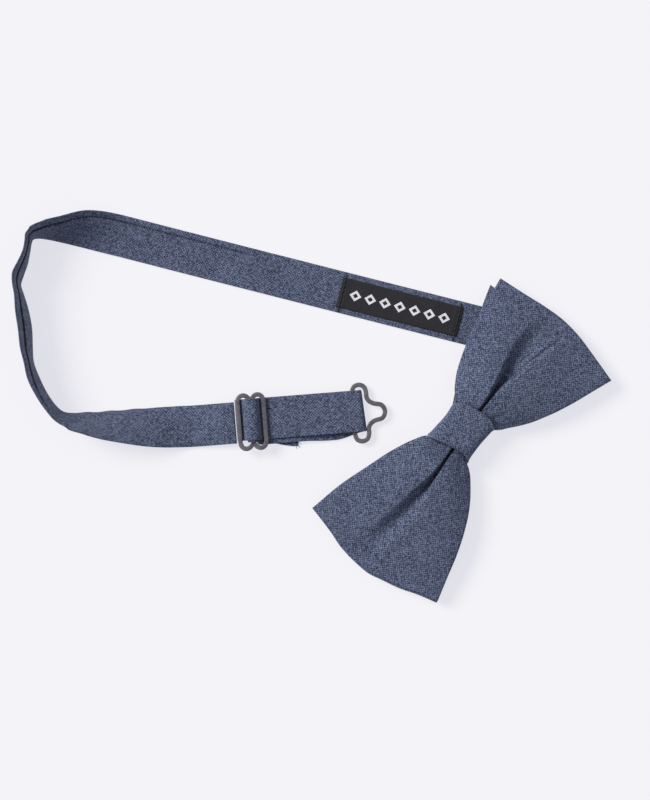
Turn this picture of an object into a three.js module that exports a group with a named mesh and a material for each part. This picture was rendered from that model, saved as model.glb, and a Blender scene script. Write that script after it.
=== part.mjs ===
// A pre-tied bow tie on an adjustable neckband, laid open with the bow's front up.
// Millimetres. The origin is the middle of the knot's flat back. +X runs along the bow, +Y is
// up when the tie is worn, and +Z is the way the bow faces.

import * as THREE from 'three';

// ---- driving dimensions -------------------------------------------------------------------
const CLEARANCE = 0.3; // between any two touching pieces

const KNOT_LENGTH = 17.8; // knot band along the bow
const KNOT_WIDTH = 18.4;
const KNOT_HEIGHT = 11.8;
const BAND_THICKNESS = 1.0;
const KNOT_CORNER = 4.0;
const SEAM_GROOVE = 1.2; // width of the sewn lap's groove in the knot's back
const SEAM_GROOVE_DEPTH = 0.6;
const SEAM_FROM_MIDDLE = 3.2;

const BOW_FLARE = 33.0; // half the height that the wings flare towards
const FLARE_LENGTH = 24.5; // how far along a wing most of the flare happens
const WING_RIGHT = 54.7; // middle of the bow to a wing's corners, on average
const WING_LEFT = 57.9;
const END_BULGE_RIGHT = 4.7; // how far a wing's end bows out past its corners
const END_BULGE_LEFT = 6.6;
const END_SLANT_RIGHT = 2.1; // how far the upper corner stands out past the average
const END_SLANT_LEFT = 0.6;
const WING_DROOP = 3.9; // how far the wings' middle hangs below the knot's
const REAR_SHORTER_RIGHT = 3.4;
const REAR_LONGER_LEFT = 0.6;
const WAIST_HALF = 6.5; // half the height of the gathered waist
const PANEL_THICKNESS = 0.5;
const STIFFENER_INSET = 1.5;
const WAIST_LEVEL = 6.5; // height of the gathered waist's middle
const WING_RISE = 2.1; // how far the wings puff up past the waist
const WING_FALL = 3.6; // how far their ends come down again
const PLEAT_DEPTH = 1.8;
const WAIST_PLEAT_DEPTH = 0.6;
const PLEAT_WIDTH = 0.3; // as a share of half the wing's height

const STRAP_WIDTH = 16.5;
const STRAP_THICKNESS = 0.9;
const LAY_ANGLE = -51.4; // degrees from the bow's axis to the neckband's own x axis
const FOLD_AT = 44.8; // knot to the diagonal fold under the right wing
const FOLD_DIRECTION = 114.2; // degrees, where the strap runs to after the fold

const WIRE_WIDTH = 1.8; // the flat stamped wire of the metal pieces
const SLIDER_THICKNESS = 1.2;
const CLASP_THICKNESS = 1.0;
const SLIDER_LENGTH = 12.6; // along the strap
const SIDE_PLAY = 1.35; // between the strap's edge and a metal window
const SLIDER_WAIST = 1.5; // how far the slider's outline steps in between its two rings
const ADJUSTER_X = -82.0; // the slider's middle, in the neckband's own axes
const ADJUSTER_Y = 4.1;
const ADJUSTER_TURN = 4.5; // degrees from the neckband's x axis
const EYE_FROM_SLIDER = 40.0; // slider's middle bar to the eye's bar
const TAIL_LENGTH = 12.5; // sewn tail of the strap past the slider's middle bar
const TAIL_STITCH_AT = 9.5;
const HOOK_FROM_KNOT = 27.0;
const HOOK_TAIL_LENGTH = 6.0;
const EYE_REACH = 12.5; // clasp's bar to the middle of the wire at its tip
const LOBE_REACH = 5.6; // clasp's bar to the wire past the strap's fold
const TONGUE_HALF = 3.3;
const HOOK_BEND_AT = 11.0;
const HOOK_BEND_RADIUS = 1.1;
const HOOK_RETURN = 4.5;

const LABEL_LENGTH = 49.0;
const LABEL_WIDTH = 12.0;
const LABEL_THICKNESS = 0.4;
const LABEL_X = -23.8; // the label's middle, in the neckband's own axes
const LABEL_Y = 49.3;
const LABEL_TURN = -14.0;

const THREAD_RADIUS = 0.17;
const GATHER_RADIUS = 0.3;
const GATHER_WIDTH = 2.4; // the turns of gathering thread, side by side

// ---- what follows from them ---------------------------------------------------------------
const KNOT_HALF = KNOT_LENGTH / 2;
const HALF_STRAP = STRAP_WIDTH / 2;
const PLY_STEP = STRAP_THICKNESS + CLEARANCE;
const LAID = STRAP_THICKNESS / 2; // middle of a ply that lies on the table
const IN_KNOT = BAND_THICKNESS + CLEARANCE + LAID;

// the bar of a clasp needs room to turn between the two plies of its fold
const BAR_ROOM = Math.hypot(WIRE_WIDTH, CLASP_THICKNESS) / 2 + 0.1;
const CLASP_LEVEL = STRAP_THICKNESS + BAR_ROOM;
const OVER_CLASP = CLASP_LEVEL + BAR_ROOM + LAID;

// the plies under the slider, from the table up: the sewn tail, its stitch, the strap coming
// back from the eye, and the strap going out to it
const STITCH_LEVEL = STRAP_THICKNESS + THREAD_RADIUS + 0.2;
const RETURN_LEVEL = STITCH_LEVEL + THREAD_RADIUS + 0.2 + LAID;
const OUTGOING_LEVEL = RETURN_LEVEL + PLY_STEP;
const SLIDER_BASE = OUTGOING_LEVEL + LAID + CLEARANCE + 0.05;
const BAR_LEVEL = SLIDER_BASE + SLIDER_THICKNESS / 2;
const WRAP_RADIUS = Math.hypot(WIRE_WIDTH, SLIDER_THICKNESS) / 2 + CLEARANCE + LAID;
const HUMP_RADIUS = WRAP_RADIUS + PLY_STEP;
const OUTER_BAR = (SLIDER_LENGTH - WIRE_WIDTH) / 2;
const SLIDER_REACH = OUTER_BAR + WIRE_WIDTH / 2;

const degrees = (d) => (d * Math.PI) / 180;
const at = (x, y, z) => new THREE.Vector3(x, y, z);
const mix = THREE.MathUtils.lerp;
const ease = THREE.MathUtils.smoothstep;

// ---- materials ----------------------------------------------------------------------------
const finish = (color, roughness, metalness = 0) =>
  new THREE.MeshStandardMaterial({ color, roughness, metalness });
const cloth = () => finish(0x54607c, 0.95);
const rearCloth = () => finish(0x4b5671, 0.95);
const interlining = () => finish(0xd9d6cc, 0.9);
const metal = () => finish(0x58524f, 0.45, 0.9);
const blackWeave = () => finish(0x15161a, 0.8);
const blackThread = () => finish(0x0e0e10, 0.8);
const blueThread = () => finish(0x3c4660, 0.8);

// ---- building blocks ----------------------------------------------------------------------
const bowTie = new THREE.Group();
const neckband = new THREE.Group();
neckband.rotation.z = degrees(LAY_ANGLE);
const adjuster = new THREE.Group();
adjuster.position.set(ADJUSTER_X, ADJUSTER_Y, 0);
adjuster.rotation.z = degrees(ADJUSTER_TURN);
neckband.add(adjuster);
bowTie.add(neckband);

function add(parent, name, geometry, material) {
  const mesh = new THREE.Mesh(geometry, material);
  mesh.name = name;
  parent.add(mesh);
  return mesh;
}

// Joins rings of points into one closed body. A ring turns by the right hand about the way the
// rings run, and its point i lies across from its last point less i.
function loft(rings, closed = false) {
  const count = rings[0].length;
  const positions = rings.flat().flatMap((p) => [p.x, p.y, p.z]);
  const index = [];
  const spans = closed ? rings.length : rings.length - 1;
  for (let r = 0; r < spans; r += 1) {
    const a = r * count;
    const b = ((r + 1) % rings.length) * count;
    for (let i = 0; i < count; i += 1) {
      const j = (i + 1) % count;
      index.push(a + i, a + j, b + j, a + i, b + j, b + i);
    }
  }
  if (!closed) {
    const end = (rings.length - 1) * count;
    for (let i = 0; i < count / 2 - 1; i += 1) {
      const near = count - 1 - i;
      index.push(i, near - 1, i + 1, i, near, near - 1);
      index.push(end + i, end + i + 1, end + near - 1, end + i, end + near - 1, end + near);
    }
  }
  const geometry = new THREE.BufferGeometry();
  geometry.setAttribute('position', new THREE.Float32BufferAttribute(positions, 3));
  geometry.setIndex(index);
  geometry.computeVertexNormals();
  return geometry;
}

// A ribbon through stations of { middle, across, up }: across is half its width, and up is the
// side that it shows.
function ribbon(stations, thickness) {
  const rings = stations.map(({ middle, across, up }) => {
    const lift = up.clone().multiplyScalar(thickness / 2);
    const left = middle.clone().add(across);
    const right = middle.clone().sub(across);
    return [
      right.clone().sub(lift),
      left.clone().sub(lift),
      left.clone().add(lift),
      right.clone().add(lift),
    ];
  });
  return loft(rings);
}

// Stations of a strap that runs square along a path in the x-z plane, given as [x, z] pairs.
function stationsAlong(path, halfWidthAt) {
  return path.map(([x, z], i) => {
    const before = path[Math.max(i - 1, 0)];
    const after = path[Math.min(i + 1, path.length - 1)];
    const run = at(after[0] - before[0], 0, after[1] - before[1]).normalize();
    return {
      middle: at(x, 0, z),
      across: at(0, halfWidthAt(x), 0),
      up: at(-run.z, 0, run.x),
    };
  });
}

// Points of a turn about a bar's middle, from one angle to another, in degrees.
function arc(x, z, radius, from, to, steps) {
  const points = [];
  for (let i = 0; i <= steps; i += 1) {
    const angle = degrees(mix(from, to, i / steps));
    points.push([x + radius * Math.cos(angle), z + radius * Math.sin(angle)]);
  }
  return points;
}

function roundedRectangle(Path, halfWidth, low, high, corner) {
  const path = new Path();
  path.moveTo(-halfWidth + corner, low);
  path.lineTo(halfWidth - corner, low);
  path.absarc(halfWidth - corner, low + corner, corner, -Math.PI / 2, 0, false);
  path.absarc(halfWidth - corner, high - corner, corner, 0, Math.PI / 2, false);
  path.absarc(-halfWidth + corner, high - corner, corner, Math.PI / 2, Math.PI, false);
  path.absarc(-halfWidth + corner, low + corner, corner, Math.PI, Math.PI * 1.5, false);
  return path;
}

// ---- the bow ------------------------------------------------------------------------------
// Rings across a bow stand at fixed places through the knot, and past it share out the wing.
const WING_FROM = KNOT_HALF + 2.8;
const THROUGH_KNOT = [0, KNOT_HALF / 2, KNOT_HALF, KNOT_HALF + 0.9, KNOT_HALF + 1.9, WING_FROM];

function wingHalfHeight(x) {
  const flared = BOW_FLARE * (1 - Math.exp(-x / FLARE_LENGTH));
  return mix(WAIST_HALF, flared, ease(x, KNOT_HALF, WING_FROM));
}

function wingLevel(x, across) {
  const puffed = WING_RISE * ease(x, KNOT_HALF, 18) - WING_FALL * ease(x, 42, 64);
  const opened = mix(WAIST_PLEAT_DEPTH, PLEAT_DEPTH, ease(x, KNOT_HALF, 13));
  const fading = 1 - ease(x, 13, 60);
  const depth = x < 13 ? opened : opened * fading;
  return WAIST_LEVEL + puffed - depth * Math.exp(-((across / PLEAT_WIDTH) ** 2));
}

// One ply of a bow, gathered at its waist. offset is its height over the bow's middle, and
// change is how much longer its two wings are cut.
function bowPanel(offset, change, inset) {
  const rings = [];
  for (let i = -15; i <= 15; i += 1) {
    const right = i >= 0;
    const step = Math.abs(i);
    const reach = right ? WING_RIGHT + change.right : WING_LEFT + change.left;
    const bulge = right ? END_BULGE_RIGHT : END_BULGE_LEFT;
    const slant = right ? END_SLANT_RIGHT : END_SLANT_LEFT;
    const row = [];
    for (let j = -5; j <= 5; j += 1) {
      const across = j / 5;
      const end = reach + bulge * (1 - across ** 2) + slant * across - inset;
      const x = step < 6 ? THROUGH_KNOT[step] : mix(WING_FROM, end, (step - 5) / 10);
      const half = wingHalfHeight(x) - inset * Math.min(x / 12, 1);
      const y = across * half - WING_DROOP * ease(x, KNOT_HALF, 60);
      row.push(at(right ? x : -x, y, wingLevel(x, across) + offset));
    }
    const under = row.map((p) => p.clone().setZ(p.z - PANEL_THICKNESS / 2));
    const over = row.map((p) => p.clone().setZ(p.z + PANEL_THICKNESS / 2)).reverse();
    rings.push([...under, ...over]);
  }
  return loft(rings);
}

const panelStep = PANEL_THICKNESS + CLEARANCE;
const firstOffset = panelStep / 2 + 0.15;
for (const [bow, side, change, material] of [
  ['front', 1, { right: 0, left: 0 }, cloth],
  ['rear', -1, { right: -REAR_SHORTER_RIGHT, left: REAR_LONGER_LEFT }, rearCloth],
]) {
  const inner = side * firstOffset;
  const middle = side * (firstOffset + panelStep);
  const outer = side * (firstOffset + 2 * panelStep);
  const [face, back] = side > 0 ? [outer, inner] : [inner, outer];
  add(bowTie, `${bow}_bow_face_panel`, bowPanel(face, change, 0), material());
  add(bowTie, `${bow}_bow_stiffener`, bowPanel(middle, change, STIFFENER_INSET), interlining());
  add(bowTie, `${bow}_bow_back_panel`, bowPanel(back, change, 0), material());
}

// ---- the knot -----------------------------------------------------------------------------
const bandOutline = roundedRectangle(THREE.Shape, KNOT_WIDTH / 2, 0, KNOT_HEIGHT, KNOT_CORNER);
{
  const groove = new THREE.Shape();
  const half = KNOT_WIDTH / 2 - KNOT_CORNER;
  const near = -SEAM_FROM_MIDDLE - SEAM_GROOVE / 2;
  const far = -SEAM_FROM_MIDDLE + SEAM_GROOVE / 2;
  groove.moveTo(-half, 0);
  groove.lineTo(near, 0);
  groove.lineTo(near, SEAM_GROOVE_DEPTH);
  groove.lineTo(far, SEAM_GROOVE_DEPTH);
  groove.lineTo(far, 0);
  groove.lineTo(half, 0);
  bandOutline.curves.splice(0, 1, ...groove.curves);
}
bandOutline.holes.push(
  roundedRectangle(
    THREE.Path,
    KNOT_WIDTH / 2 - BAND_THICKNESS,
    BAND_THICKNESS,
    KNOT_HEIGHT - BAND_THICKNESS,
    KNOT_CORNER - BAND_THICKNESS,
  ),
);

// Turns a shape drawn in y and z, and extruded, so that it runs along x about the middle.
function alongX(geometry, length) {
  geometry.rotateX(Math.PI / 2);
  geometry.rotateZ(Math.PI / 2);
  geometry.translate(-length / 2, 0, 0);
  return geometry;
}
const bandSolid = new THREE.ExtrudeGeometry(bandOutline, {
  depth: KNOT_LENGTH,
  bevelEnabled: false,
  curveSegments: 6,
});
add(bowTie, 'knot_band', alongX(bandSolid, KNOT_LENGTH), cloth());

const seamThread = new THREE.CylinderGeometry(THREAD_RADIUS, THREAD_RADIUS, KNOT_LENGTH - 3, 8);
seamThread.rotateZ(Math.PI / 2);
seamThread.translate(0, -SEAM_FROM_MIDDLE, THREAD_RADIUS + 0.05);
add(bowTie, 'knot_seam_stitch', seamThread, blueThread());

// The gathering thread runs round both bows' waists, inside the knot band.
{
  const stack = firstOffset + 2 * panelStep + PANEL_THICKNESS / 2;
  const gap = CLEARANCE + GATHER_RADIUS;
  const path = roundedRectangle(
    THREE.Path,
    WAIST_HALF + gap,
    WAIST_LEVEL - stack - WAIST_PLEAT_DEPTH - gap,
    WAIST_LEVEL + stack + gap,
    1.2,
  );
  const points = path.getSpacedPoints(32).slice(0, -1);
  const rings = points.map((p, i) => {
    const before = points[(i + points.length - 1) % points.length];
    const after = points[(i + 1) % points.length];
    const run = after.clone().sub(before).normalize();
    const ring = [];
    for (let k = 0; k < 8; k += 1) {
      const angle = (k / 8) * Math.PI * 2;
      const out = GATHER_RADIUS * Math.cos(angle);
      const along = (GATHER_WIDTH / 2) * Math.sin(angle);
      ring.push(at(-along, p.x + run.y * out, p.y - run.x * out));
    }
    return ring;
  });
  add(bowTie, 'gathering_thread', loft(rings, true), blueThread());
}

// ---- the neck strap -----------------------------------------------------------------------
// From its sewn end at the hook, through the knot, over a diagonal fold under the right wing,
// and round to the slider. The stretch past the fold is given by its edge nearest the neck,
// which stays on the table, and by how far its other edge leans up, in degrees.
const NECK_EDGE = [
  [-49.0, 47.2, 0],
  [-104.8, 61.4, 0],
  [-130.5, 68.0, 0],
  [-140.0, 70.4, 8],
  [-149.0, 72.6, 22],
  [-157.5, 74.6, 45],
  [-164.5, 75.6, 66],
  [-168.8, 73.6, 80],
  [-170.8, 68.5, 87],
  [-172.2, 62.0, 90],
  [-172.4, 55.0, 90],
  [-170.6, 48.0, 90],
  [-168.6, 40.5, 88],
  [-167.6, 33.0, 88],
  [-166.4, 25.5, 88],
  [-163.9, 18.5, 86],
  [-160.4, 12.4, 82],
  [-155.6, 8.8, 74],
  [-149.5, 7.7, 60],
  [-140.0, 8.2, 44],
  [-130.4, 8.9, 28],
  [-121.0, 9.6, 12],
  [-112.5, 10.2, 2],
];

const toBow = (x, y) => at(x, y, 0).applyAxisAngle(at(0, 0, 1), degrees(LAY_ANGLE));

function adjusterPoint(x, y) {
  const turned = at(x, y, 0).applyAxisAngle(at(0, 0, 1), degrees(ADJUSTER_TURN));
  return turned.add(at(ADJUSTER_X, ADJUSTER_Y, 0));
}

// The knot gathers the strap too, between the rounded corners of its band.
function strapHalfAt(x) {
  const gathered = KNOT_WIDTH / 2 - KNOT_CORNER;
  return mix(gathered, HALF_STRAP, ease(Math.abs(x), KNOT_HALF + 0.5, KNOT_HALF + 6));
}

// The stretch under the bow: the tail over the hook's bar, and the ply through the knot.
function underBowStations() {
  const bar = -HOOK_FROM_KNOT;
  const turn = arc(bar, CLASP_LEVEL, BAR_ROOM + LAID, 90, 270, 8);
  const path = [
    [bar + HOOK_TAIL_LENGTH, OVER_CLASP],
    ...turn,
    [-KNOT_HALF - 5.5, LAID],
    [-KNOT_HALF - 3.0, mix(LAID, IN_KNOT, 0.5)],
    [-KNOT_HALF - 0.8, IN_KNOT],
    [KNOT_HALF + 0.8, IN_KNOT],
    [KNOT_HALF + 3.0, IN_KNOT],
    [KNOT_HALF + 5.5, IN_KNOT],
    [KNOT_HALF + 9.0, IN_KNOT],
  ];
  return stationsAlong(path, strapHalfAt);
}

// The diagonal fold. Its rows lie along the crease, so each is longer than the strap is wide.
const creaseAngle = degrees(FOLD_DIRECTION / 2);
const foldRadius = (IN_KNOT - LAID) / 2;
function foldStations() {
  const crease = at(Math.cos(creaseAngle), Math.sin(creaseAngle), 0);
  const beyond = at(Math.sin(creaseAngle), -Math.cos(creaseAngle), 0);
  const turnLength = (Math.PI * foldRadius) / Math.sin(creaseAngle);
  const reach = HALF_STRAP / Math.sin(creaseAngle);
  const stations = [];
  const station = (s, lean) => {
    const past = s * Math.sin(creaseAngle);
    const angle = THREE.MathUtils.clamp(past / foldRadius, 0, Math.PI);
    const straight = past > 0 ? Math.max(past - Math.PI * foldRadius, 0) : -past;
    const out = foldRadius * Math.sin(angle) - straight;
    const middle = at(FOLD_AT, 0, IN_KNOT - foldRadius * (1 - Math.cos(angle)))
      .add(crease.clone().multiplyScalar(s * Math.cos(creaseAngle)))
      .add(beyond.clone().multiplyScalar(out));
    const up = at(0, 0, Math.cos(angle)).add(beyond.clone().multiplyScalar(Math.sin(angle)));
    const run = s > 0 ? degrees(FOLD_DIRECTION) : 0;
    const side = s > 0 ? -1 : 1;
    const square = at(-Math.sin(run), Math.cos(run), 0).multiplyScalar(side * HALF_STRAP);
    const across = crease.clone().multiplyScalar(reach).lerp(square, lean);
    stations.push({ middle, across, up });
  };
  [1, 0.5, 0].forEach((lean, i) => station(-18 + 8 * i, lean));
  for (let i = 0; i <= 6; i += 1) {
    station((i / 6) * turnLength, 0);
  }
  [0, 0.5, 1].forEach((lean, i) => station(turnLength + 2 + 8 * i, lean));
  return stations;
}

// Past the fold the strap shows its other side, so up and across are both turned over.
function neckStations() {
  const joined = [-22, -10 - CLEARANCE].map((x) => {
    const edge = adjusterPoint(x, HALF_STRAP);
    return [edge.x, edge.y, 0];
  });
  const route = [...NECK_EDGE, ...joined].map(([x, y, lean]) => at(x, y, lean));
  const curve = new THREE.CatmullRomCurve3(route, false, 'centripetal');
  const stations = [];
  const steps = 76;
  for (let i = 0; i <= steps; i += 1) {
    const u = i / steps;
    const { x, y, z: lean } = curve.getPoint(u);
    const run = curve.getTangent(u).setZ(0).normalize();
    const outward = at(run.y, -run.x, 0);
    const tilt = degrees(THREE.MathUtils.clamp(lean, 0, 90));
    const width = outward.multiplyScalar(Math.cos(tilt)).add(at(0, 0, Math.sin(tilt)));
    const half = width.multiplyScalar(HALF_STRAP);
    const edge = at(x, y, LAID * Math.max(Math.cos(tilt), 0.12));
    const turned = toBow(half.x, half.y).setZ(half.z);
    const middle = toBow(edge.x, edge.y).setZ(edge.z).add(turned);
    const along = toBow(run.x, run.y);
    const up = turned.clone().cross(along).normalize();
    stations.push({ middle, across: turned, up: up.negate() });
  }
  return stations;
}

const strapStations = [...underBowStations(), ...foldStations(), ...neckStations()];
add(bowTie, 'neck_strap', ribbon(strapStations, STRAP_THICKNESS), cloth());

// ---- the strap's end, through the slider and the eye ----------------------------------------
{
  const innerEdge = OUTER_BAR - WIRE_WIDTH / 2;
  const barX = EYE_FROM_SLIDER;
  const foldX = barX + LOBE_REACH - WIRE_WIDTH / 2 - BAR_ROOM - LAID - STRAP_THICKNESS / 2 - 0.3;
  const path = [
    [-10, LAID],
    [-8.2, mix(LAID, OUTGOING_LEVEL, 0.4)],
    [-OUTER_BAR - 1.0, OUTGOING_LEVEL - 0.3],
    [-innerEdge + 0.1, OUTGOING_LEVEL - 0.1],
    ...arc(0, BAR_LEVEL, HUMP_RADIUS, 190, -10, 8),
    [innerEdge - 0.2, OUTGOING_LEVEL + 0.05],
    [innerEdge + 1.6, OUTGOING_LEVEL],
    [mix(innerEdge, barX, 0.5), OUTGOING_LEVEL],
    ...arc(foldX, CLASP_LEVEL, BAR_ROOM + LAID, 90, -90, 8),
    [barX - 6, LAID + 0.1],
    [TAIL_LENGTH + 4, RETURN_LEVEL - 0.2],
    [TAIL_LENGTH - 2, RETURN_LEVEL],
    [innerEdge + 1.6, RETURN_LEVEL],
    [innerEdge - 0.1, RETURN_LEVEL - 0.15],
    [innerEdge - 1.8, RETURN_LEVEL + 0.4],
    [WRAP_RADIUS + 0.1, BAR_LEVEL - 1.1],
    ...arc(0, BAR_LEVEL, WRAP_RADIUS, 0, 250, 9),
    [0.9, LAID + 1.25],
    [2.8, LAID + 0.3],
    [5.0, LAID],
    [TAIL_LENGTH, LAID],
  ];
  add(adjuster, 'strap_end_loop', ribbon(stationsAlong(path, () => HALF_STRAP), STRAP_THICKNESS), cloth());
}

const tailThread = new THREE.CylinderGeometry(THREAD_RADIUS, THREAD_RADIUS, STRAP_WIDTH - 1.5, 8);
tailThread.translate(TAIL_STITCH_AT, 0, STITCH_LEVEL);
add(adjuster, 'strap_tail_stitch', tailThread, blueThread());

// ---- metal pieces ---------------------------------------------------------------------------
// The slider: two long rings side by side that share their middle bar.
function sliderGeometry() {
  const windowHalf = HALF_STRAP + SIDE_PLAY;
  const outerHalf = windowHalf + WIRE_WIDTH;
  const corner = 2.6;
  const waist = outerHalf - SLIDER_WAIST;
  const notch = 1.6;
  const outline = new THREE.Shape();
  outline.moveTo(SLIDER_REACH, -outerHalf + corner);
  outline.lineTo(SLIDER_REACH, outerHalf - corner);
  outline.absarc(SLIDER_REACH - corner, outerHalf - corner, corner, 0, Math.PI / 2, false);
  outline.quadraticCurveTo(notch, outerHalf, 0, waist);
  outline.quadraticCurveTo(-notch, outerHalf, -SLIDER_REACH + corner, outerHalf);
  outline.absarc(-SLIDER_REACH + corner, outerHalf - corner, corner, Math.PI / 2, Math.PI, false);
  outline.lineTo(-SLIDER_REACH, -outerHalf + corner);
  outline.absarc(
    -SLIDER_REACH + corner, -outerHalf + corner, corner, Math.PI, Math.PI * 1.5, false,
  );
  outline.quadraticCurveTo(-notch, -outerHalf, 0, -waist);
  outline.quadraticCurveTo(notch, -outerHalf, SLIDER_REACH - corner, -outerHalf);
  outline.absarc(
    SLIDER_REACH - corner, -outerHalf + corner, corner, Math.PI * 1.5, Math.PI * 2, false,
  );
  for (const side of [-1, 1]) {
    const inner = WIRE_WIDTH / 2;
    const outer = OUTER_BAR - WIRE_WIDTH / 2;
    const middle = (side * (inner + outer)) / 2;
    const window = roundedRectangle(
      THREE.Path, (outer - inner) / 2, -windowHalf, windowHalf, 0.9,
    );
    const shifted = new THREE.Path(window.getPoints(4).map((p) => p.add({ x: middle, y: 0 })));
    outline.holes.push(shifted);
  }
  const geometry = new THREE.ExtrudeGeometry(outline, {
    depth: SLIDER_THICKNESS,
    bevelEnabled: false,
    curveSegments: 4,
  });
  geometry.translate(0, 0, SLIDER_BASE);
  return geometry;
}
add(adjuster, 'slider', sliderGeometry(), metal());

// A clasp's flat wire: its bar, the two lobes past the strap's edges, and the loop at its tip.
function claspWire(reach, shape) {
  const lobe = LOBE_REACH / 2;
  const side = HALF_STRAP + 0.1;
  const half = [
    [0, side - 4.5],
    [0, side],
    [lobe * 0.29, side + lobe * 0.71],
    [lobe, side + lobe],
    [lobe * 1.71, side + lobe * 0.71],
    [LOBE_REACH, side],
    [LOBE_REACH + 0.1, side - 2.1],
    [LOBE_REACH + 1.3, TONGUE_HALF + 1.0],
    [LOBE_REACH + 3.4, TONGUE_HALF],
    [reach - TONGUE_HALF, TONGUE_HALF],
    [reach - TONGUE_HALF * 0.3, TONGUE_HALF * 0.72],
  ];
  const lower = half.map(([x, y]) => at(x, -y, 0)).reverse();
  const upper = half.map(([x, y]) => at(x, y, 0));
  const curve = new THREE.CatmullRomCurve3([...upper, at(reach, 0, 0), ...lower], true);
  const steps = 64;
  const rings = [];
  for (let i = 0; i < steps; i += 1) {
    const point = curve.getPointAt(i / steps);
    const run = curve.getTangentAt(i / steps);
    const out = at(-run.y, run.x, 0).multiplyScalar(WIRE_WIDTH / 2);
    const lift = at(0, 0, CLASP_THICKNESS / 2);
    rings.push([
      shape(point.clone().add(out).sub(lift)),
      shape(point.clone().sub(out).sub(lift)),
      shape(point.clone().sub(out).add(lift)),
      shape(point.clone().add(out).add(lift)),
    ].reverse());
  }
  return loft(rings, true);
}

const eyeWire = claspWire(EYE_REACH, (p) => p);
add(adjuster, 'eye_clasp', eyeWire, metal()).position.set(EYE_FROM_SLIDER, 0, CLASP_LEVEL);

// The hook's tongue is the same loop, longer and bent back over itself.
function bentBack(p) {
  const past = p.x - HOOK_BEND_AT;
  if (past <= 0) {
    return p;
  }
  const angle = Math.min(past / HOOK_BEND_RADIUS, Math.PI);
  const arm = HOOK_BEND_RADIUS - p.z;
  const beyond = Math.max(past - Math.PI * HOOK_BEND_RADIUS, 0);
  return at(
    HOOK_BEND_AT + arm * Math.sin(angle) - beyond,
    p.y,
    HOOK_BEND_RADIUS - arm * Math.cos(angle),
  );
}
const hookReach = HOOK_BEND_AT + Math.PI * HOOK_BEND_RADIUS + HOOK_RETURN;
const hook = add(bowTie, 'hook_clasp', claspWire(hookReach, bentBack), metal());
hook.position.set(-HOOK_FROM_KNOT, 0, CLASP_LEVEL);
hook.rotation.z = Math.PI;

const hookThread = new THREE.CylinderGeometry(THREAD_RADIUS, THREAD_RADIUS, STRAP_WIDTH - 1.5, 8);
hookThread.translate(-HOOK_FROM_KNOT + HOOK_TAIL_LENGTH - 1.5, 0, CLASP_LEVEL);
add(bowTie, 'hook_tail_stitch', hookThread, blueThread());

// ---- the label ------------------------------------------------------------------------------
const labelPlace = new THREE.Group();
labelPlace.position.set(LABEL_X, LABEL_Y, STRAP_THICKNESS + CLEARANCE);
labelPlace.rotation.z = degrees(LABEL_TURN);
neckband.add(labelPlace);
const labelSolid = new THREE.BoxGeometry(LABEL_LENGTH, LABEL_WIDTH, LABEL_THICKNESS);
labelSolid.translate(0, 0, LABEL_THICKNESS / 2);
add(labelPlace, 'woven_label', labelSolid, blackWeave());
for (const [name, side] of [['left', -1], ['right', 1]]) {
  const thread = new THREE.CylinderGeometry(THREAD_RADIUS, THREAD_RADIUS, STRAP_WIDTH, 8);
  const reach = LABEL_LENGTH / 2 + CLEARANCE + THREAD_RADIUS;
  thread.translate(side * reach, 0, THREAD_RADIUS);
  add(labelPlace, `label_stitch_${name}`, thread, blackThread());
}

export default bowTie;
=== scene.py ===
"""A pre-tied bow tie on an adjustable neckband, lying face up on a pale table."""
import math

import bmesh
import bpy
import numpy as np
from mathutils import Matrix


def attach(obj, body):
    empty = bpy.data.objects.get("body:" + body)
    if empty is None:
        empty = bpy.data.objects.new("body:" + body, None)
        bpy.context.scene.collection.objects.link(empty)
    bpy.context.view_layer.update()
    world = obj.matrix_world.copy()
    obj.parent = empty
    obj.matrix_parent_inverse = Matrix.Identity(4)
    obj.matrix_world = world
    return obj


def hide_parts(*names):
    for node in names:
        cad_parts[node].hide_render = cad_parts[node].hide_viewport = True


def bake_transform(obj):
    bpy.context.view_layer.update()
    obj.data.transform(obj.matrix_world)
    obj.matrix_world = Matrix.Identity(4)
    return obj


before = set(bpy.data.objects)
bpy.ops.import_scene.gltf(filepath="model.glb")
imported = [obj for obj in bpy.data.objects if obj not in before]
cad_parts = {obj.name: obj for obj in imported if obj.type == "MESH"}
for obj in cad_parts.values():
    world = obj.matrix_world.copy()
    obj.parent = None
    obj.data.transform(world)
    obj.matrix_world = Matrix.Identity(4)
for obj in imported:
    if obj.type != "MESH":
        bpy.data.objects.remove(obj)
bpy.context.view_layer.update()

MM = 0.001

# ---- sizes, in millimetres; all but the hem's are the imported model's ------------------------
KNOT_LENGTH = 17.8
KNOT_WIDTH = 18.4
KNOT_HEIGHT = 11.8
BAND = 1.0
STRAP_WIDTH = 16.5
STRAP = 0.9
WIRE = 1.8
SLIDER_THICK = 1.2
CLASP_THICK = 1.0
GAP = 0.3
LAY_ANGLE = math.radians(-51.4)
ADJUSTER = (-82.0, 4.1)
ADJUSTER_TURN = math.radians(4.5)
EYE_AT = 40.0
HOOK_AT = -27.0
FOLD_AT = 44.8
FOLD_DIRECTION = math.radians(114.2)

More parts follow.
